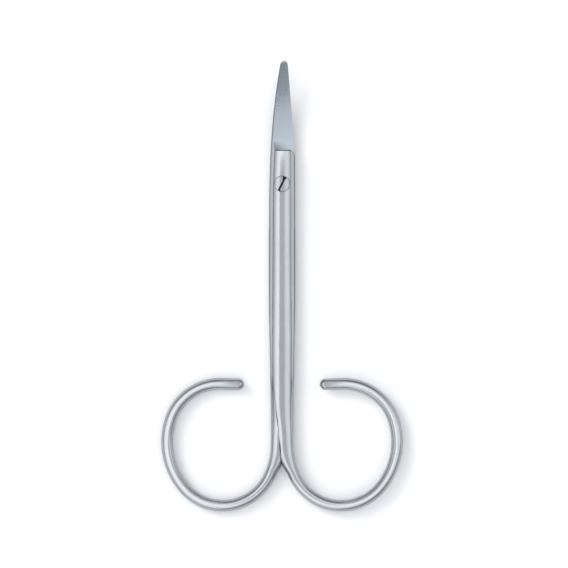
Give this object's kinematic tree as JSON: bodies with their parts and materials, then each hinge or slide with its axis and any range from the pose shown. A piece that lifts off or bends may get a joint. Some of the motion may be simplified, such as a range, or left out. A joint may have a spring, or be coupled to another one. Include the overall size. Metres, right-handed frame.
{
  "type": "curved nail scissors",
  "caption": "Small curved nail scissors of stainless steel with a slotted pivot screw, half-round shanks and bent rod finger rings.",
  "frame": {"origin": "under the middle of the closed scissors, on the surface that they lie on", "axes": "+Y runs to the blade tips, +Z runs along the pivot towards the screw head, +X runs to the finger ring of the upper lever"},
  "size_m": [0.0482, 0.09, 0.0079],
  "materials": {
    "steel": "fine satin, softly polished",
    "screw": "turned, ground flush with the shank"
  },
  "bodies": {
    "lower": {"lower_lever": "steel", "pivot_screw": "screw"},
    "upper": {"upper_lever": "steel"}
  },
  "joints": [
    {"name": "blade_pivot", "type": "hinge", "parent": "lower", "child": "upper", "pos_m": [0, 0.0205, 0.0022], "axis": [0, 0, 1], "range_deg": [0, 60]}
  ]
}
